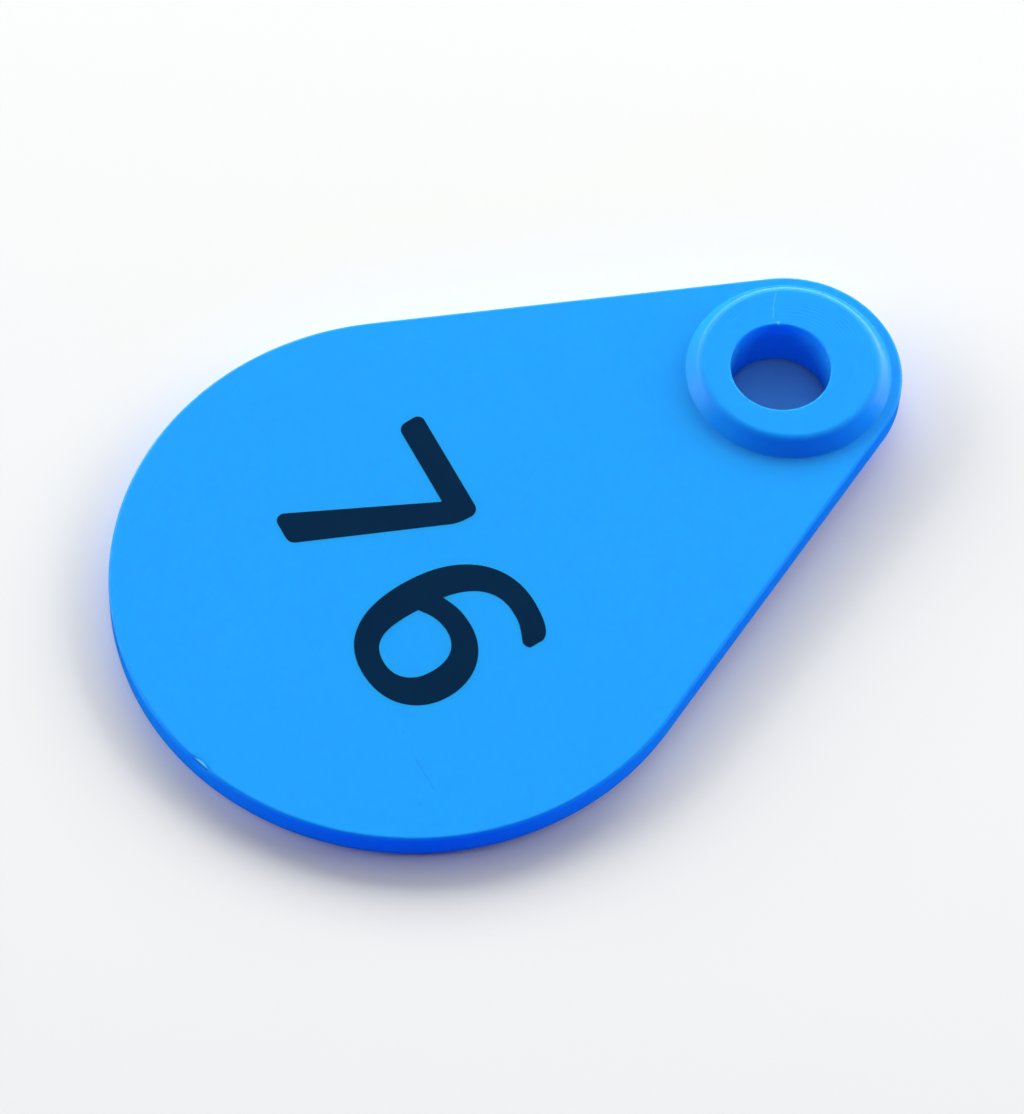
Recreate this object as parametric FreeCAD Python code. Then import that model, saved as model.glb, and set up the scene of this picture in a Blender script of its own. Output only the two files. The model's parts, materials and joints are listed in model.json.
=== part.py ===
import FreeCAD, Part
import math
import os

# Collar number tag, moulded in plastic as one piece.
# A flat teardrop plate carries the number on its large round end.
# The small round end is the eyelet: a hole through a ring boss that stands on both faces,
# so that the tag hangs the same either way round.
# Lengths are in millimetres. +X runs from the number end to the eyelet, +Y across the tag,
# and +Z out of the front face. The origin is under the middle of the tag, level with the
# flat of the boss on the back.

# Plate
disc_radius = 30.0           # large round end, which carries the number
centre_distance = 45.2       # from the disc's centre to the boss's
plate_thickness = 3.0
plate_edge_rounding = 0.35

# Hole for the collar's hook or ring
hole_radius = 5.1
hole_setback = 1.1           # the hole sits off the boss's centre, towards the disc
hole_rim_rounding = 0.2

# Ring boss around the hole, the same on both faces
boss_land = 2.9              # flat between hole and slope, where the setback leaves it narrowest
boss_height = 1.7            # above the plate's face
boss_slope_width = 1.35      # how far the side leans in from foot to flat
boss_shoulder_rounding = 1.1
boss_foot_fillet = 0.2
lip_width = 1.15             # plate left bare around the boss's foot

# Sizes that follow from those above
boss_flat_radius = hole_radius + hole_setback + boss_land
boss_foot_radius = boss_flat_radius + boss_slope_width
end_radius = boss_foot_radius + lip_width
overall_length = disc_radius + centre_distance + end_radius

# Levels, from the back boss's flat to the front one's
back_flat_z = 0.0
plate_back_z = back_flat_z + boss_height
plate_front_z = plate_back_z + plate_thickness
front_flat_z = plate_front_z + boss_height

# Places along the tag
disc_x = disc_radius - overall_length / 2.0
boss_x = disc_x + centre_distance
hole_x = boss_x - hole_setback

TOUCHING = 1e-4              # two places closer than this are the same place


def on_circle(centre_x, radius, angle, z):
    """Point of a level circle whose centre lies on the tag's long axis."""
    return FreeCAD.Vector(centre_x + radius * math.cos(angle), radius * math.sin(angle), z)


def level_circles(shape, centre_x, radius, z):
    """Edges of the shape that run along one level circle."""
    centre = FreeCAD.Vector(centre_x, 0.0, z)
    found = []
    for edge in shape.Edges:
        curve = edge.Curve
        if not isinstance(curve, Part.Circle):
            continue
        same_place = curve.Center.distanceToPoint(centre) < TOUCHING
        same_size = abs(curve.Radius - radius) < TOUCHING
        if same_place and same_size:
            found.append(edge)
    return found


def plate_outline(z):
    """Teardrop: two round ends and the two straight sides that touch both."""
    side_normal = math.acos((disc_radius - end_radius) / centre_distance)
    disc_left = on_circle(disc_x, disc_radius, side_normal, z)
    disc_right = on_circle(disc_x, disc_radius, -side_normal, z)
    end_left = on_circle(boss_x, end_radius, side_normal, z)
    end_right = on_circle(boss_x, end_radius, -side_normal, z)
    disc_far = on_circle(disc_x, disc_radius, math.pi, z)
    end_far = on_circle(boss_x, end_radius, 0.0, z)
    return Part.Wire([
        Part.Arc(disc_left, disc_far, disc_right).toShape(),
        Part.LineSegment(disc_right, end_right).toShape(),
        Part.Arc(end_right, end_far, end_left).toShape(),
        Part.LineSegment(end_left, disc_left).toShape(),
    ])


def plate():
    """Flat plate, its edge rounded all along both faces."""
    sharp = Part.Face(plate_outline(plate_back_z)).extrude(FreeCAD.Vector(0.0, 0.0, plate_thickness))
    rim_edges = [edge for edge in sharp.Edges if edge.BoundBox.ZLength < TOUCHING]
    return sharp.makeFillet(plate_edge_rounding, rim_edges)


def bosses():
    """Both ring bosses and the core that joins them through the plate, turned as one spool."""
    profile = Part.makePolygon([
        FreeCAD.Vector(boss_x, 0.0, back_flat_z),
        FreeCAD.Vector(boss_x + boss_flat_radius, 0.0, back_flat_z),
        FreeCAD.Vector(boss_x + boss_foot_radius, 0.0, plate_back_z),
        FreeCAD.Vector(boss_x + boss_foot_radius, 0.0, plate_front_z),
        FreeCAD.Vector(boss_x + boss_flat_radius, 0.0, front_flat_z),
        FreeCAD.Vector(boss_x, 0.0, front_flat_z),
        FreeCAD.Vector(boss_x, 0.0, back_flat_z),
    ])
    axis_point = FreeCAD.Vector(boss_x, 0.0, 0.0)
    axis_direction = FreeCAD.Vector(0.0, 0.0, 1.0)
    return Part.Face(profile).revolve(axis_point, axis_direction, 360.0)


def hole():
    """Straight hole through both bosses."""
    start = FreeCAD.Vector(hole_x, 0.0, back_flat_z)
    return Part.makeCylinder(hole_radius, front_flat_z - back_flat_z, start)


def tag_body():
    """The whole tag: plate and bosses in one, their edges eased, and the hole with its rims."""
    body = plate().fuse(bosses())
    foot_edges = level_circles(body, boss_x, boss_foot_radius, plate_back_z)
    foot_edges += level_circles(body, boss_x, boss_foot_radius, plate_front_z)
    body = body.makeFillet(boss_foot_fillet, foot_edges)
    shoulder_edges = level_circles(body, boss_x, boss_flat_radius, back_flat_z)
    shoulder_edges += level_circles(body, boss_x, boss_flat_radius, front_flat_z)
    body = body.makeFillet(boss_shoulder_rounding, shoulder_edges)
    body = body.cut(hole())
    rim_edges = level_circles(body, hole_x, hole_radius, back_flat_z)
    rim_edges += level_circles(body, hole_x, hole_radius, front_flat_z)
    return body.makeFillet(hole_rim_rounding, rim_edges)


os.makedirs("parts", exist_ok=True)
tag_body().exportStep("parts/tag_body.step")
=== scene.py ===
import json
import math

import bmesh
import bpy
from mathutils import Matrix, Vector


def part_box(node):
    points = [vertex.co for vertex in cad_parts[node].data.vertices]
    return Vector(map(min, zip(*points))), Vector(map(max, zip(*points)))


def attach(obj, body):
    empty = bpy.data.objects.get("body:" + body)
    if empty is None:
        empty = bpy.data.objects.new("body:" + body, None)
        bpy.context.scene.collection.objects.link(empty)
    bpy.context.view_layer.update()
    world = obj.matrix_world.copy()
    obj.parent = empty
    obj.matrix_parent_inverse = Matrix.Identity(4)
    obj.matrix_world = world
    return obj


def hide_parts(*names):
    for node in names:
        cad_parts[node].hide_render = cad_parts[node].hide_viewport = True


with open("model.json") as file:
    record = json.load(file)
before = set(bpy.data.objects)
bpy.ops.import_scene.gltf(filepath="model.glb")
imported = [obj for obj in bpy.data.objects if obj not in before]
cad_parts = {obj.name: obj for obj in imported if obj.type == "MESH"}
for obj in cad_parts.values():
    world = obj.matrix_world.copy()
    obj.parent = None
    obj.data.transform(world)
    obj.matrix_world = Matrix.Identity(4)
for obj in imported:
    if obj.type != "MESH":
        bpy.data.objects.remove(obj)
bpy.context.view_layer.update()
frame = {"record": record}

# Collar number tag in blue plastic, with its number printed on it, on a plain pale floor.
# Shapes are in metres and patterns in millimetres, in the frame's own axes.
MM = 0.001

# What the frame gives
MOUNTS = {mount["name"]: mount for mount in frame["record"]["mounts"]}
BODY_LOW, BODY_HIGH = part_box("tag_body")

# Levels
BACK_FLAT_Z = BODY_LOW[2]
FRONT_FLAT_Z = BODY_HIGH[2]
MIDDLE_Z = (BACK_FLAT_Z + FRONT_FLAT_Z) / 2
FACE_Z = MOUNTS["number_face"]["pos_m"][2]

# Hole
HOLE_X = MOUNTS["eyelet"]["pos_m"][0]
HOLE_RADIUS = MOUNTS["eyelet"]["dims"]["r_mm"] * MM
HOLE_SETBACK = 1.1 * MM
HOLE_RIM_ROUNDING = 0.2 * MM

# Ring boss, the same on both faces
BOSS_X = HOLE_X + HOLE_SETBACK
BOSS_FLAT_RADIUS = 9.1 * MM
BOSS_FOOT_RADIUS = 10.45 * MM
BOSS_SHOULDER_ROUNDING = 1.1 * MM
BOSS_FOOT_FILLET = 0.2 * MM

# Plate
DISC_RADIUS = BODY_HIGH[1]
DISC_X = BODY_LOW[0] + DISC_RADIUS
END_RADIUS = BODY_HIGH[0] - BOSS_X
EDGE_ROUNDING = 0.35 * MM

# Mark left where the gate broke off, a shallow hollow in the disc's edge
GATE_ANGLE = math.radians(194.5)     # round the disc from the eyelet's side
GATE_LENGTH = 2.7 * MM
GATE_REACH = 0.42 * MM               # from the disc's edge to the hollow's own
GATE_DEPTH = 0.16 * MM
GATE_SLANT = 0.7                     # how much of the depth goes inwards, and as much downwards

# Fine marks in the front surface, as places in millimetres
WELD_LINE = [(35.35, 7.70), (34.30, 6.62), (33.35, 5.42)]     # where the plastic met behind the hole
WELD_WIDTH = 0.10
BURR = [(33.47, 4.60), (33.43, 4.44)]                         # nib on the hole's rim, by the weld line
BURR_WIDTH = 0.17
SCRATCHES = [
    [(-24.32, -18.04), (-24.59, -21.75)],
    [(-26.68, -22.52), (-26.56, -22.34)],
    [(-23.79, -14.99), (-23.70, -14.84)],
]
SCRATCH_WIDTH = 0.11
WANDER = 0.3                                                  # how far such lines stray from straight


class Wire:
    """An output socket. Python's operators on it add Math nodes to its tree."""

    def __init__(self, plan, socket):
        self.plan = plan
        self.socket = socket

    def of(self, name):
        """Another output of the same node."""
        return Wire(self.plan, self.plan.find(self.socket.node.outputs, name))

    def __add__(self, other):
        return self.plan.maths("ADD", self, other)

    def __radd__(self, other):
        return self.plan.maths("ADD", other, self)

    def __sub__(self, other):
        return self.plan.maths("SUBTRACT", self, other)

    def __rsub__(self, other):
        return self.plan.maths("SUBTRACT", other, self)

    def __mul__(self, other):
        return self.plan.maths("MULTIPLY", self, other)

    def __rmul__(self, other):
        return self.plan.maths("MULTIPLY", other, self)

    def __truediv__(self, other):
        return self.plan.maths("DIVIDE", self, other)

    def __rtruediv__(self, other):
        return self.plan.maths("DIVIDE", other, self)

    def __pow__(self, other):
        return self.plan.maths("POWER", self, other)

    def __gt__(self, other):
        return self.plan.maths("GREATER_THAN", self, other)

    def __lt__(self, other):
        return self.plan.maths("LESS_THAN", self, other)

    def __abs__(self):
        return self.plan.maths("ABSOLUTE", self)


class Plan:
    """A node tree being built, for a shape or for a finish."""

    def __init__(self, tree):
        self.tree = tree

    @staticmethod
    def find(sockets, key):
        """A socket that is in use, by its name or by its place in the row."""
        usable = [socket for socket in sockets if socket.enabled]
        if isinstance(key, int):
            return usable[key]
        return next(socket for socket in usable if socket.name == key)

    def add(self, kind, settings=None, inputs=None):
        """Adds a node: its settings first, then the value or link of each socket."""
        node = self.tree.nodes.new(kind)
        for name, value in (settings or {}).items():
            setattr(node, name, value)
        for key, value in (inputs or {}).items():
            socket = self.find(node.inputs, key)
            for each in value if isinstance(value, list) else [value]:
                if isinstance(each, Wire):
                    self.tree.links.new(each.socket, socket)
                else:
                    socket.default_value = each
        usable = [socket for socket in node.outputs if socket.enabled]
        return Wire(self, usable[0]) if usable else node

    def maths(self, operation, *values):
        return self.add("ShaderNodeMath", {"operation": operation}, dict(enumerate(values)))

    def hypotenuse(self, x, y):
        return self.maths("SQRT", x * x + y * y)

    def held(self, value):
        """The value, but no less than 0 and no more than 1."""
        return self.maths("MINIMUM", self.maths("MAXIMUM", value, 0.0), 1.0)

    def vector(self, x, y, z):
        return self.add("ShaderNodeCombineXYZ", None, {"X": x, "Y": y, "Z": z})

    def mix(self, share, colour, tint):
        """The colour, with the given share of the tint in it."""
        return self.add("ShaderNodeMix", {"data_type": "RGBA"}, {"Factor": share, "A": colour, "B": tint})

    def pick(self, index, values):
        """The one of several values whose place in the row is the index."""
        node = self.tree.nodes.new("GeometryNodeIndexSwitch")
        node.data_type = "FLOAT"
        for _ in values[2:]:
            node.index_switch_items.new()
        self.tree.links.new(index.socket, node.inputs["Index"])
        for socket, value in zip(list(node.inputs)[1:], values):
            if isinstance(value, Wire):
                self.tree.links.new(value.socket, socket)
            else:
                socket.default_value = value
        return Wire(self, node.outputs[0])


def shape_plan(name, sizes):
    """A Geometry Nodes tree with a named input for each size, a material input and an output."""
    tree = bpy.data.node_groups.new(name, "GeometryNodeTree")
    tree.interface.new_socket("Geometry", in_out="OUTPUT", socket_type="NodeSocketGeometry")
    keys = {}
    for label, value in sizes.items():
        kind = "NodeSocketInt" if isinstance(value, int) else "NodeSocketFloat"
        keys[label] = tree.interface.new_socket(label, in_out="INPUT", socket_type=kind).identifier
    finish = tree.interface.new_socket("Finish", in_out="INPUT", socket_type="NodeSocketMaterial")
    keys["Finish"] = finish.identifier
    plan = Plan(tree)
    start = plan.add("NodeGroupInput")
    return plan, {label: start.of(label) for label in keys}, keys


def make_shape(name, plan, keys, values, result):
    """Runs a finished tree once and keeps what it makes as a plain mesh object."""
    plan.add("NodeGroupOutput", None, {"Geometry": result})
    holder = bpy.data.objects.new(name + "_maker", bpy.data.meshes.new(name + "_empty"))
    bpy.context.scene.collection.objects.link(holder)
    modifier = holder.modifiers.new("shape", "NODES")
    modifier.node_group = plan.tree
    for label, value in values.items():
        modifier[keys[label]] = value
    bpy.context.view_layer.update()
    evaluated = holder.evaluated_get(bpy.context.evaluated_depsgraph_get())
    made = bpy.data.meshes.new_from_object(evaluated)
    bpy.data.objects.remove(holder)
    made.name = name
    piece = bpy.data.objects.new(name, made)
    bpy.context.scene.collection.objects.link(piece)
    return piece


# Tag body
HOLE, BOSS, OUTLINE = 0, 1, 2        # which round a ring of points belongs to
SEAM_MARGIN = 0.08 * MM              # flat left beside each rounding
SAME_POINT = 0.001 * MM              # two points of the skin closer than this are one


def tag_body(finish):
    """The whole moulding: rings of points round hole, boss and outline, joined into one skin."""
    sizes = {
        "Disc X": DISC_X, "Disc Radius": DISC_RADIUS,
        "Boss X": BOSS_X, "End Radius": END_RADIUS,
        "Hole X": HOLE_X, "Hole Radius": HOLE_RADIUS,
        "Middle Z": MIDDLE_Z, "Face Z": FACE_Z, "Boss Flat Z": FRONT_FLAT_Z,
        "Boss Flat Radius": BOSS_FLAT_RADIUS, "Boss Foot Radius": BOSS_FOOT_RADIUS,
        "Rim Rounding": HOLE_RIM_ROUNDING, "Shoulder Rounding": BOSS_SHOULDER_ROUNDING,
        "Foot Fillet": BOSS_FOOT_FILLET, "Edge Rounding": EDGE_ROUNDING,
        "Margin": SEAM_MARGIN,
        "Rounding Steps": 7, "End Steps": 96, "Disc Steps": 288,
        "Crowding": 0.72,
        "Gate Angle": GATE_ANGLE, "Gate Length": GATE_LENGTH,
        "Gate Reach": GATE_REACH, "Gate Depth": GATE_DEPTH,
    }
    plan, size, keys = shape_plan("tag_body_shape", sizes)
    margin = size["Margin"]

    # Half of the cross-section, from the middle of the hole's wall to the middle of the rim.
    # Each corner: the round it belongs to, its distance out, its level, and its rounding.
    slope_width = size["Boss Foot Radius"] - size["Boss Flat Radius"]
    slope_height = size["Boss Flat Z"] - size["Face Z"]
    slope_length = plan.hypotenuse(slope_width, slope_height)
    half_turn = slope_height / (slope_length + slope_width)     # tangent of half the slope's angle
    shoulder = size["Shoulder Rounding"] * half_turn + margin
    foot = size["Foot Fillet"] * half_turn + margin
    shoulder_share = shoulder / slope_length
    foot_share = foot / slope_length
    rim = size["Rim Rounding"] + margin
    edge = size["Edge Rounding"] + margin
    corners = [
        (HOLE, size["Hole Radius"], size["Middle Z"], 0.0),
        (HOLE, size["Hole Radius"], size["Boss Flat Z"] - rim, 0.0),
        (HOLE, size["Hole Radius"], size["Boss Flat Z"], size["Rim Rounding"]),
        (HOLE, size["Hole Radius"] + rim, size["Boss Flat Z"], 0.0),
        (BOSS, size["Boss Flat Radius"] - shoulder, size["Boss Flat Z"], 0.0),
        (BOSS, size["Boss Flat Radius"], size["Boss Flat Z"], size["Shoulder Rounding"]),
        (BOSS, size["Boss Flat Radius"] + slope_width * shoulder_share,
         size["Boss Flat Z"] - slope_height * shoulder_share, 0.0),
        (BOSS, size["Boss Foot Radius"] - slope_width * foot_share,
         size["Face Z"] + slope_height * foot_share, 0.0),
        (BOSS, size["Boss Foot Radius"], size["Face Z"], size["Foot Fillet"]),
        (BOSS, size["Boss Foot Radius"] + foot, size["Face Z"], 0.0),
        (OUTLINE, 0.0 - edge - edge, size["Face Z"], 0.0),
        (OUTLINE, 0.0 - edge, size["Face Z"], 0.0),
        (OUTLINE, 0.0, size["Face Z"], size["Edge Rounding"]),
        (OUTLINE, 0.0, size["Face Z"] - edge, 0.0),
        (OUTLINE, 0.0, size["Middle Z"], 0.0),
    ]
    index = plan.add("GeometryNodeInputIndex")
    line = plan.add("GeometryNodeMeshLine", None, {"Count": len(corners)})
    line = plan.add("GeometryNodeMeshToCurve", None, {"Mesh": line})
    line = plan.add("GeometryNodeSetPosition", None, {
        "Geometry": line,
        "Position": plan.vector(
            plan.pick(index, [corner[1] for corner in corners]), 0.0,
            plan.pick(index, [corner[2] for corner in corners])),
    })
    line = plan.add("GeometryNodeStoreNamedAttribute", {"data_type": "FLOAT", "domain": "POINT"}, {
        "Geometry": line, "Name": "round",
        "Value": plan.pick(index, [float(corner[0]) for corner in corners]),
    })
    line = plan.add("GeometryNodeFilletCurve", {"mode": "POLY"}, {
        "Curve": line, "Count": size["Rounding Steps"], "Limit Radius": False,
        "Radius": plan.pick(index, [corner[3] for corner in corners]),
    })
    ring_count = plan.add("GeometryNodeAttributeDomainSize", {"component": "CURVE"}, {"Geometry": line})

    # A grid with a row for each ring of that section and a column for each step round the tag
    steps = size["End Steps"] + size["Disc Steps"] + 2
    grid = plan.add("GeometryNodeMeshGrid", None, {"Vertices X": steps + 1, "Vertices Y": ring_count})
    column = plan.maths("FLOOR", (index + 0.5) / ring_count)
    ring = index - column * ring_count
    step = column - steps * (column > steps - 0.5)
    section_point = plan.add(
        "GeometryNodeSampleIndex", {"data_type": "FLOAT_VECTOR", "domain": "POINT"},
        {"Geometry": line, "Value": plan.add("GeometryNodeInputPosition"), "Index": ring})
    stored_round = plan.add("GeometryNodeInputNamedAttribute", {"data_type": "FLOAT"}, {"Name": "round"})
    section_round = plan.add(
        "GeometryNodeSampleIndex", {"data_type": "FLOAT", "domain": "POINT"},
        {"Geometry": line, "Value": stored_round, "Index": ring})
    section = plan.add("ShaderNodeSeparateXYZ", None, {"Vector": section_point})
    reach = section.of("X")
    level = section.of("Z")

    # Direction of each step: first round the small end, then round the disc, closer together at the gate
    narrowing = (size["Disc Radius"] - size["End Radius"]) / (size["Boss X"] - size["Disc X"])
    side = plan.maths("ARCCOSINE", narrowing)
    on_disc = step > size["End Steps"] + 0.5
    end_angle = 2.0 * side * step / size["End Steps"] - side
    disc_span = math.tau - 2.0 * side
    along = (step - size["End Steps"] - 1.0) / size["Disc Steps"]
    gate_share = (size["Gate Angle"] - side) / disc_span
    drift = plan.maths("SINE", (along - gate_share) * math.tau)
    drift_at_start = plan.maths("SINE", gate_share * math.tau)
    crowded = along - size["Crowding"] * (drift + drift_at_start) / math.tau
    disc_angle = side + disc_span * crowded
    angle = end_angle + (disc_angle - end_angle) * on_disc

    # Centre and radius of each ring, by the round that it belongs to
    in_outline = section_round > OUTLINE - 0.5
    past_hole = section_round > HOLE + 0.5
    outline_on_disc = in_outline * on_disc
    centre = (size["Hole X"] + (size["Boss X"] - size["Hole X"]) * past_hole
              + (size["Disc X"] - size["Boss X"]) * outline_on_disc)
    radius = (reach + size["End Radius"] * in_outline
              + (size["Disc Radius"] - size["End Radius"]) * outline_on_disc)
    place = plan.vector(
        centre + radius * plan.maths("COSINE", angle), radius * plan.maths("SINE", angle), level)
    front = plan.add("GeometryNodeSetPosition", None, {"Geometry": grid, "Position": place})

    # The back half is the front one mirrored, which turns its faces round
    back = plan.add("GeometryNodeTransform", None, {
        "Geometry": front, "Scale": (1.0, 1.0, -1.0),
        "Translation": plan.vector(0.0, 0.0, size["Middle Z"] * 2.0),
    })
    front = plan.add("GeometryNodeFlipFaces", None, {"Mesh": front})
    whole = plan.add("GeometryNodeJoinGeometry", None, {"Geometry": [front, back]})
    whole = plan.add("GeometryNodeMergeByDistance", None, {"Geometry": whole, "Distance": SAME_POINT})

    # The gate's break-off mark: a shallow hollow in the edge of the disc
    spot = plan.add("ShaderNodeSeparateXYZ", None, {"Vector": plan.add("GeometryNodeInputPosition")})
    out_x = plan.maths("COSINE", size["Gate Angle"])
    out_y = plan.maths("SINE", size["Gate Angle"])
    from_x = spot.of("X") - size["Disc X"]
    from_y = spot.of("Y")
    along_gate = abs(from_y * out_x - from_x * out_y) * 2.0 / size["Gate Length"]
    outward = from_x * out_x + from_y * out_y
    inset = size["Disc Radius"] - plan.hypotenuse(from_x, from_y)
    below = size["Face Z"] - spot.of("Z")
    from_edge = plan.hypotenuse(inset, below) / size["Gate Reach"]
    hollow = (plan.maths("MAXIMUM", 1.0 - along_gate ** 4.0, 0.0)
              * plan.maths("MAXIMUM", 1.0 - from_edge * from_edge, 0.0) * (outward > 0.0))
    push = size["Gate Depth"] * hollow
    whole = plan.add("GeometryNodeSetPosition", None, {
        "Geometry": whole,
        "Offset": plan.vector(out_x * push * -GATE_SLANT, out_y * push * -GATE_SLANT, push * -GATE_SLANT),
    })
    whole = plan.add("GeometryNodeSetShadeSmooth", None, {"Geometry": whole})
    whole = plan.add("GeometryNodeRealizeInstances", None, {"Geometry": whole})
    whole = plan.add("GeometryNodeSetMaterial", None, {"Geometry": whole, "Material": size["Finish"]})
    return make_shape("tag_moulding", plan, keys, dict(sizes, Finish=finish), whole)


# Printed number
DIGIT_TURN = math.radians(-95.5)     # the number's tops face the eyelet, turned a little
INK_THICKNESS = 0.03 * MM
INK_SUNK = 0.01 * MM
CURVE_STEPS = 24                     # straight pieces from one node of an outline to the next
SAME_PRINT_POINT = 0.0005 * MM       # two points of the print closer than this are one

# Each corner of the 7: across, up, and how round it is, in millimetres from the disc's centre
SEVEN = [
    (-16.28, 9.13, 0.74), (-3.57, 9.13, 1.10), (-3.18, 8.37, 0.85), (-3.05, 6.64, 4.3),
    (-8.39, -9.45, 1.0), (-12.16, -9.48, 0.84), (-5.99, 6.38, 0.1), (-15.85, 6.38, 1.03),
]
# Each node of the 6: across, up, direction in, direction out, length of each handle
SIX_OUTSIDE = [
    (8.43, 9.31, 180, 180, 2.24, 4.89),
    (0.62, 0.72, 270, 270, 5.02, 3.14),
    (7.93, -9.51, 0, 0, 6.38, 4.18),
    (14.28, -3.91, 90, 90, 2.99, 3.27),
    (7.96, 2.46, 180, 180, 4.0, 2.21),
    (3.98, 1.43, 205.4, 89.8, 0.83, 1.39),
    (8.65, 6.87, 0, 0, 4.23, 1.04),
    (11.96, 6.16, -20.3, -20.3, 2.12, 0.41),
    (12.85, 6.59, 92, 92, 0.15, 0.15),
    (12.69, 7.93, 94.9, 94.9, 0.54, 0.25),
    (11.73, 8.85, 160.5, 160.5, 0.56, 0.35),
]
SIX_INSIDE = [
    (7.65, 0.05, 0, 0, 2.04, 2.51),
    (11.01, -4.1, 270, 270, 2.07, 1.16),
    (7.88, -7.11, 180, 180, 2.43, 2.59),
    (4.15, -1.4, 94.7, 31.1, 3.86, 0.56),
]


def heading(degrees):
    """Direction, as a vector one long."""
    angle = math.radians(degrees)
    return Vector((math.cos(angle), math.sin(angle)))


def from_directions(rows):
    """Curve nodes (point, handle before, handle after) from points, directions and handle lengths."""
    nodes = []
    for across, up, way_in, way_out, before, after in rows:
        point = Vector((across, up))
        nodes.append((point, point - heading(way_in) * before, point + heading(way_out) * after))
    return nodes


def from_corners(rows):
    """Curve nodes of a polygon whose corners are rounded, two nodes for each corner."""
    nodes = []
    for number, (across, up, rounding) in enumerate(rows):
        corner = Vector((across, up))
        before = (Vector(rows[number - 1][:2]) - corner).normalized()
        after = (Vector(rows[(number + 1) % len(rows)][:2]) - corner).normalized()
        turn = math.pi - before.angle(after)
        cut = rounding * math.tan(turn / 2)
        handle = rounding * math.tan(turn / 4) * 4 / 3     # the length that keeps the curve round
        start = corner + before * cut
        end = corner + after * cut
        nodes.append((start, start, start - before * handle))
        nodes.append((end, end - after * handle, end))
    return nodes


def digit(name, outlines, finish):
    """A printed digit: a flat film of ink with the given outlines, on the number face."""
    curve = bpy.data.curves.new(name + "_outline", "CURVE")
    curve.dimensions = "2D"
    curve.fill_mode = "BOTH"
    curve.resolution_u = CURVE_STEPS
    curve.extrude = INK_THICKNESS / MM / 2
    for nodes in outlines:
        spline = curve.splines.new("BEZIER")
        spline.bezier_points.add(len(nodes) - 1)
        spline.use_cyclic_u = True
        for bezier, (point, before, after) in zip(spline.bezier_points, nodes):
            bezier.handle_left_type = bezier.handle_right_type = "FREE"
            bezier.co = point.to_3d()
            bezier.handle_left = before.to_3d()
            bezier.handle_right = after.to_3d()
    holder = bpy.data.objects.new(name + "_maker", curve)
    bpy.context.scene.collection.objects.link(holder)
    bpy.context.view_layer.update()
    evaluated = holder.evaluated_get(bpy.context.evaluated_depsgraph_get())
    mesh = bpy.data.meshes.new_from_object(evaluated)
    bpy.data.objects.remove(holder)
    mesh.name = name
    mesh.transform(
        Matrix.Translation((DISC_X, 0.0, FACE_Z + INK_THICKNESS / 2 - INK_SUNK))
        @ Matrix.Rotation(DIGIT_TURN, 4, "Z") @ Matrix.Scale(MM, 4))
    skin = bmesh.new()
    skin.from_mesh(mesh)
    bmesh.ops.remove_doubles(skin, verts=skin.verts, dist=SAME_PRINT_POINT)
    bmesh.ops.recalc_face_normals(skin, faces=skin.faces)
    skin.to_mesh(mesh)
    skin.free()
    mesh.materials.clear()
    mesh.materials.append(finish)
    piece = bpy.data.objects.new(name, mesh)
    bpy.context.scene.collection.objects.link(piece)
    return piece


# Finishes
BLUE = (0.012, 0.37, 0.98, 1.0)
RIDGE_HIGHLIGHT_BLUE = (0.13, 0.70, 1.0, 1.0)          # painted highlight on the weld line's ridge and on the burr
GATE_HIGHLIGHT_BLUE = (0.26, 0.92, 1.0, 1.0)           # painted highlight on the upper side of the gate's hollow
DULL_BLUE = (0.008, 0.20, 0.70, 1.0)         # in a scratch
GATE_SHADE_BLUE = (0.002, 0.06, 0.25, 1.0)         # painted shade along the middle of the gate's hollow
INK = (0.0006, 0.0185, 0.053, 1.0)
FLOOR_COLOUR = (0.84, 0.845, 0.82, 1.0)
FLOOR_GLOW = (0.02, 0.26, 0.95, 1.0)         # what the floor sends back to the tag
GROUND_BEHIND = (0.98, 0.98, 0.98, 1.0)      # what the tag mirrors of the ground behind it
GROUND_IN_FRONT = (0.02, 0.2, 0.45, 1.0)     # and of the ground in front
GROUND_CHANGE = (14.0, 30.0)                 # how far behind the middle it turns pale, in millimetres
LIGHT_AXIS = math.radians(60.0)              # the side of the tag that the light comes from

# Patterns in the plastic, in millimetres: how wide a patch is, and how high it stands
CLOUD_SIZE = 14.0
RIPPLE_SIZE = 6.0
RIPPLE_HEIGHT = 0.02
GRAIN_SIZE = 0.35
GRAIN_HEIGHT = 0.0008
TOOL_MARK_PITCH = 0.42
TOOL_MARK_HEIGHT = 0.005
TOOL_MARK_PATCH = 3.5
TOOL_MARK_WAVER = 6.0                        # how much the clouds shift the rings, in radians
PATCH_CONTRAST = 4.0
PATCH_START = 1.6                            # taken off, which leaves bare places between the patches
WELD_HEIGHT = 0.01
BURR_HEIGHT = 0.05
SCRATCH_DEPTH = 0.005
FADE_SIZE = 0.7
FADE_STRENGTH = 1.3
WANDER_SIZE = 1.2
NEAR_FLAT = 0.02                             # this close to a boss's flat counts as on it
FLAT_AND_RIM = 0.15                          # and this close takes in the hole's rounded rim
HOLLOW_SHARPNESS = 6.0                       # how late the gate's hollow fades towards its ends
HOLLOW_BLUR = 0.05                           # softness of the edge of the painted highlight in the gate's hollow
# How softly the painted highlight rises on the hollow's upper side, and how wide the painted shade line
# is
UPPER_BLUR = 0.1
GATE_SHADE_WIDTH = 0.12

# How strongly a mark takes its colour: a painted highlight on the weld line and the burr, a duller blue
# in a scratch
WELD_HIGHLIGHT_SHARE = 0.5
BURR_HIGHLIGHT_SHARE = 0.8
SCRATCH_TINT = 0.6

# Patterns in the ink and on the floor
INK_GRAIN_SIZE = 0.5
INK_GRAIN_HEIGHT = 0.002
INK_CLOUD_SIZE = 5.0
FLOOR_CLOUD_SIZE = 60.0


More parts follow.
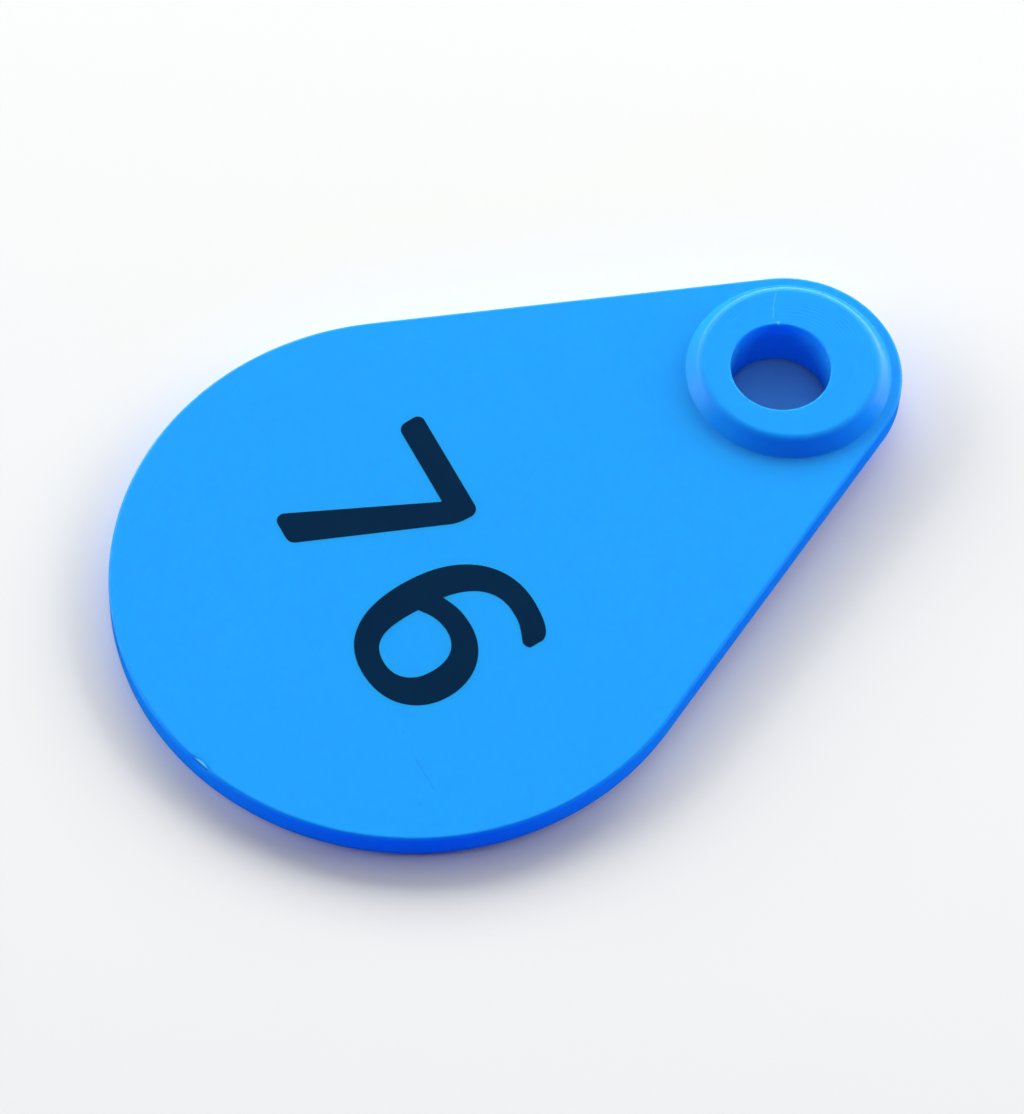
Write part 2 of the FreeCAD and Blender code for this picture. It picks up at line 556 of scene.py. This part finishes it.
def finish_plan(name):
    """A new material and its plan."""
    material = bpy.data.materials.new(name)
    material.use_nodes = True
    material.node_tree.nodes.clear()
    return material, Plan(material.node_tree)


def shifted(colour, red, green, blue):
    """The colour with each of its parts made stronger or weaker."""
    return colour[0] * red, colour[1] * green, colour[2] * blue, 1.0


def in_millimetres(plan):
    """Place on the object in millimetres, as a vector."""
    coordinates = plan.add("ShaderNodeTexCoord").of("Object")
    return plan.add("ShaderNodeVectorMath", {"operation": "SCALE"}, {0: coordinates, "Scale": 1.0 / MM})


def noise(plan, place, size, detail):
    """Cloudy pattern about 0.5 whose patches are about size millimetres across."""
    return plan.add("ShaderNodeTexNoise", {"noise_dimensions": "3D"}, {
        "Vector": place, "Scale": 1.0 / size, "Detail": detail,
    })


def stroke(plan, x, y, start, end, width):
    """1 along a straight line between two places, falling to 0 at its half width, in millimetres."""
    run_x = end[0] - start[0]
    run_y = end[1] - start[1]
    from_x = x - start[0]
    from_y = y - start[1]
    share = plan.held((from_x * run_x + from_y * run_y) / (run_x * run_x + run_y * run_y))
    away = plan.hypotenuse(from_x - share * run_x, from_y - share * run_y)
    return plan.maths("MAXIMUM", 1.0 - away / width, 0.0)


def strokes(plan, x, y, points, width):
    """The strongest of the strokes that join a row of places."""
    strongest = 0.0
    for start, end in zip(points, points[1:]):
        strongest = plan.maths("MAXIMUM", strongest, stroke(plan, x, y, start, end, width))
    return strongest


def soft_step(plan, value, start, end):
    """0 before one value and 1 past the other, with an even rise between them."""
    return plan.held((value - start) / (end - start))


def blue_plastic():
    """Sky-blue moulded plastic, glossy and a little rippled, with its weld line, tool marks and wear, and
    with painted highlights on the weld line, burr and gate's hollow and a painted shade line in the
    hollow.
    """
    material, plan = finish_plan("blue_plastic_moulded")
    place = in_millimetres(plan)
    axes = plan.add("ShaderNodeSeparateXYZ", None, {"Vector": place})
    x = axes.of("X")
    y = axes.of("Y")
    z = axes.of("Z")

    clouds = noise(plan, place, CLOUD_SIZE, 2.0)
    grain = noise(plan, place, GRAIN_SIZE, 3.0)
    ripple = noise(plan, place, RIPPLE_SIZE, 1.0)

    # Faint rings that the tool left on the bosses' flats, in patches
    from_boss = plan.hypotenuse(x - BOSS_X / MM, y)
    on_flat = abs(z - MIDDLE_Z / MM) > (FRONT_FLAT_Z - MIDDLE_Z) / MM - NEAR_FLAT
    rings = plan.maths("SINE", from_boss * (math.tau / TOOL_MARK_PITCH) + clouds * TOOL_MARK_WAVER)
    patches = noise(plan, place, TOOL_MARK_PATCH, 1.0) * PATCH_CONTRAST - PATCH_START
    patches = plan.maths("MAXIMUM", patches, 0.0)
    tool_marks = rings * patches * on_flat

    # Thin lines that stray a little from straight
    stray = (noise(plan, place, WANDER_SIZE, 2.0) - 0.5) * WANDER
    line_x = x + stray
    line_y = y - stray
    on_front_flat = z > FRONT_FLAT_Z / MM - FLAT_AND_RIM
    fading = noise(plan, place, FADE_SIZE, 1.0) * FADE_STRENGTH
    weld = strokes(plan, line_x, line_y, WELD_LINE, WELD_WIDTH) * fading * on_front_flat
    burr = strokes(plan, x, y, BURR, BURR_WIDTH) * on_front_flat
    scratched = 0.0
    for scratch in SCRATCHES:
        scratched = scratched + strokes(plan, line_x, line_y, scratch, SCRATCH_WIDTH)
    scratched = scratched * fading * (z > MIDDLE_Z / MM)

    # The gate's hollow: a painted highlight on its upper side, with a painted shade line along its middle
    out_x = math.cos(GATE_ANGLE)
    out_y = math.sin(GATE_ANGLE)
    from_x = x - DISC_X / MM
    along = abs(y * out_x - from_x * out_y) / (GATE_LENGTH / MM / 2)
    at_gate = plan.maths("MAXIMUM", 1.0 - along ** HOLLOW_SHARPNESS, 0.0)
    at_gate = at_gate * (from_x * out_x + y * out_y > 0.0)
    inset = DISC_RADIUS / MM - plan.hypotenuse(from_x, y)
    tilt = inset - (FACE_Z / MM - z)     # 0 between the hollow's upper side and its lower one
    crescent = (1.0 - along * along) * (GATE_REACH / MM)
    upper = (soft_step(plan, tilt, 0.0, UPPER_BLUR)
             * soft_step(plan, crescent - inset, -HOLLOW_BLUR, HOLLOW_BLUR))
    gate_shade = plan.maths("MAXIMUM", 1.0 - abs(tilt) / GATE_SHADE_WIDTH, 0.0) * (inset < crescent)

    height = (ripple * RIPPLE_HEIGHT + grain * GRAIN_HEIGHT + tool_marks * TOOL_MARK_HEIGHT
              + weld * WELD_HEIGHT + burr * BURR_HEIGHT - scratched * SCRATCH_DEPTH)
    colour = plan.mix(clouds, shifted(BLUE, 1.0, 0.985, 0.99), shifted(BLUE, 1.2, 1.015, 1.01))
    # Painted highlights on the weld line, the burr and the gate's hollow, painted shade along the
    # hollow's middle, and a duller blue in the scratches
    for share, tint in (
            (plan.maths("MAXIMUM", weld * WELD_HIGHLIGHT_SHARE, burr * BURR_HIGHLIGHT_SHARE), RIDGE_HIGHLIGHT_BLUE),
            (upper * at_gate, GATE_HIGHLIGHT_BLUE),
            (gate_shade * at_gate, GATE_SHADE_BLUE),
            (scratched * SCRATCH_TINT, DULL_BLUE)):
        colour = plan.mix(share, colour, tint)
    bump = plan.add("ShaderNodeBump", None, {"Strength": 1.0, "Distance": MM, "Height": height})
    shader = plan.add("ShaderNodeBsdfPrincipled", None, {
        "Base Color": colour,
        "Roughness": 0.12 + grain * 0.06,
        "Normal": bump,
        "IOR": 1.5,
        "Subsurface Weight": 0.5,
        "Subsurface Radius": (0.05, 0.5, 2.5),
        "Subsurface Scale": MM,
    })
    plan.add("ShaderNodeOutputMaterial", None, {"Surface": shader})
    return material


def navy_ink():
    """Dark blue pad-printing ink, satin, laid down a little unevenly."""
    material, plan = finish_plan("navy_ink")
    place = in_millimetres(plan)
    grain = noise(plan, place, INK_GRAIN_SIZE, 3.0)
    clouds = noise(plan, place, INK_CLOUD_SIZE, 2.0)
    colour = plan.mix(clouds, shifted(INK, 1.0, 0.85, 0.9), shifted(INK, 1.5, 1.15, 1.1))
    bump = plan.add("ShaderNodeBump", None, {
        "Strength": 1.0, "Distance": MM, "Height": grain * INK_GRAIN_HEIGHT,
    })
    shader = plan.add("ShaderNodeBsdfPrincipled", None, {
        "Base Color": colour,
        "Roughness": 0.18 + grain * 0.08,
        "Normal": bump,
        "IOR": 1.25,
    })
    plan.add("ShaderNodeOutputMaterial", None, {"Surface": shader})
    return material


def pale_floor():
    """Floor that is plain and pale to the camera, and sends blue light back to the tag."""
    material, plan = finish_plan("pale_floor")
    place = in_millimetres(plan)
    clouds = noise(plan, place, FLOOR_CLOUD_SIZE, 2.0)
    seen = plan.add("ShaderNodeLightPath")
    mirrored = seen.of("Is Glossy Ray")
    direct = plan.maths("MAXIMUM", seen.of("Is Camera Ray"), seen.of("Is Transmission Ray"))
    bounced = 1.0 - plan.maths("MAXIMUM", direct, mirrored)
    colour = plan.mix(clouds, shifted(FLOOR_COLOUR, 0.99, 0.99, 0.99), FLOOR_COLOUR)

    # The tag mirrors a pale ground behind it and a blue one in front
    axes = plan.add("ShaderNodeSeparateXYZ", None, {"Vector": place})
    behind = axes.of("X") * math.cos(LIGHT_AXIS) + axes.of("Y") * math.sin(LIGHT_AXIS)
    ground = plan.mix(soft_step(plan, behind, *GROUND_CHANGE), GROUND_IN_FRONT, GROUND_BEHIND)
    colour = plan.mix(mirrored, colour, ground)
    colour = plan.mix(bounced, colour, FLOOR_GLOW)
    shader = plan.add("ShaderNodeBsdfPrincipled", None, {
        "Base Color": colour, "Roughness": 0.9, "Specular IOR Level": 0.0,
    })
    plan.add("ShaderNodeOutputMaterial", None, {"Surface": shader})
    return material


# Camera, floor and light
CAMERA_PLACE = Vector((-159.98, -223.28, 450.74)) * MM
CAMERA_AIM = Vector((-3.5, -3.0, 3.2)) * MM
CAMERA_ROLL = math.radians(3.1)
FOCAL_PIXELS = 5250.0
IMAGE_HEIGHT = 1114.0                # the taller side of the photograph, in pixels
SENSOR = 36.0                        # millimetres, as the lens is

# The back boss holds one end of the tag off the floor, and the disc's far edge touches it
FLOOR_HALF = 3.0                     # metres from the floor's middle to its edge
SLOPE_WIDTH = BOSS_FOOT_RADIUS - BOSS_FLAT_RADIUS
SLOPE_HEIGHT = FRONT_FLAT_Z - FACE_Z
SLOPE_LENGTH = math.hypot(SLOPE_WIDTH, SLOPE_HEIGHT)
SHOULDER_REACH = BOSS_SHOULDER_ROUNDING * SLOPE_HEIGHT / (SLOPE_LENGTH + SLOPE_WIDTH)
REST_X = BOSS_X - BOSS_FLAT_RADIUS + SHOULDER_REACH
RESTING_TILT = math.atan2(SLOPE_HEIGHT, REST_X - BODY_LOW[0] - EDGE_ROUNDING)

# Light
LAMP_DISTANCE = 1.6                  # metres
DIM_ROOM = 0.06                      # light that comes evenly from all round
SEEN_ROOM = 0.8                      # how much brighter the room is to the camera
MIRRORED_TOP = 0.05                  # brightness of the mirrored room high up
MIRRORED_RISE = 0.95                 # and how much it gains down to its horizon
MIRRORED_CHANGE = (-0.2, 0.3)        # where it turns from dark, in front, to bright, behind


def set_camera():
    """The camera that has the photograph's view of the tag."""
    data = bpy.data.cameras.new("camera")
    data.sensor_width = SENSOR
    data.sensor_fit = "AUTO"
    data.lens = FOCAL_PIXELS * SENSOR / IMAGE_HEIGHT
    data.clip_start = 0.01
    data.clip_end = 20.0
    camera = bpy.data.objects.new("camera", data)
    bpy.context.scene.collection.objects.link(camera)
    turn = (CAMERA_AIM - CAMERA_PLACE).to_track_quat("-Z", "Y").to_matrix().to_4x4()
    camera.matrix_world = Matrix.Translation(CAMERA_PLACE) @ turn @ Matrix.Rotation(CAMERA_ROLL, 4, "Z")
    bpy.context.scene.camera = camera


def set_floor():
    """The floor that the tag lies on. The tag is modelled level, so the floor slopes a little."""
    drop = math.tan(RESTING_TILT)
    half = FLOOR_HALF
    corners = [(-half, -half), (half, -half), (half, half), (-half, half)]
    mesh = bpy.data.meshes.new("floor")
    mesh.from_pydata([(x, y, (REST_X - x) * drop) for x, y in corners], [], [(0, 1, 2, 3)])
    mesh.materials.append(pale_floor())
    floor = bpy.data.objects.new("floor", mesh)
    bpy.context.scene.collection.objects.link(floor)


def add_softbox(name, azimuth, elevation, width, height, share, colour=(1.0, 1.0, 1.0)):
    """A softbox round the tag. Its share is the part of the number face's light that it gives."""
    level = math.radians(elevation)
    turn = math.radians(azimuth)
    place = Vector((math.cos(turn) * math.cos(level), math.sin(turn) * math.cos(level), math.sin(level)))
    place *= LAMP_DISTANCE
    data = bpy.data.lights.new(name, "AREA")
    data.shape = "RECTANGLE"
    data.size = width
    data.size_y = height
    data.energy = share * (math.pi * LAMP_DISTANCE) ** 2 / math.sin(level)
    data.color = colour
    light = bpy.data.objects.new(name, data)
    light.visible_glossy = False         # the gloss mirrors the plain pale room, and no lamp
    bpy.context.scene.collection.objects.link(light)
    aim = (-place).to_track_quat("-Z", "Y").to_matrix().to_4x4()
    light.matrix_world = Matrix.Translation(place) @ aim


def set_light():
    """Three white softboxes, a weak blue one low in front, and the room."""
    add_softbox("back_softbox", azimuth=56.0, elevation=31.0, width=1.8, height=0.8, share=0.51)
    add_softbox("left_softbox", azimuth=126.0, elevation=22.0, width=2.0, height=0.8, share=0.38)
    add_softbox("right_softbox", azimuth=-4.0, elevation=22.0, width=2.0, height=0.8, share=0.42)
    add_softbox("blue_fill", azimuth=245.0, elevation=9.0, width=1.6, height=0.4, share=0.06,
                colour=(0.0, 0.12, 1.0))
    world = bpy.data.worlds.new("studio")
    world.use_nodes = True
    world.node_tree.nodes.clear()
    plan = Plan(world.node_tree)
    seen = plan.add("ShaderNodeLightPath")
    mirrored = seen.of("Is Glossy Ray")
    direct = plan.maths("MAXIMUM", seen.of("Is Camera Ray"), seen.of("Is Transmission Ray"))

    # Gloss mirrors a pale room that is brightest low down behind the tag and dark in front of it
    heading_out = plan.add("ShaderNodeTexCoord").of("Generated")
    way = plan.add("ShaderNodeSeparateXYZ", None, {"Vector": heading_out})
    behind = way.of("X") * math.cos(LIGHT_AXIS) + way.of("Y") * math.sin(LIGHT_AXIS)
    low = 1.0 - abs(way.of("Z"))
    room = (MIRRORED_TOP + low * MIRRORED_RISE) * soft_step(plan, behind, *MIRRORED_CHANGE)
    strength = (DIM_ROOM + direct * SEEN_ROOM) * (1.0 - mirrored) + room * mirrored
    light = plan.add("ShaderNodeBackground", None, {"Color": (1.0, 1.0, 1.0, 1.0), "Strength": strength})
    plan.add("ShaderNodeOutputWorld", None, {"Surface": light})
    bpy.context.scene.world = world


# The scene
bpy.context.scene.view_settings.view_transform = "Standard"
set_camera()
set_floor()
set_light()

body = tag_body(blue_plastic())
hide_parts("tag_body")
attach(body, "root")

ink = navy_ink()
for digit_name, outlines in {
    "digit_seven": [from_corners(SEVEN)],
    "digit_six": [from_directions(SIX_OUTSIDE), from_directions(SIX_INSIDE)],
}.items():
    printed = digit(digit_name, outlines, ink)
    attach(printed, "root")
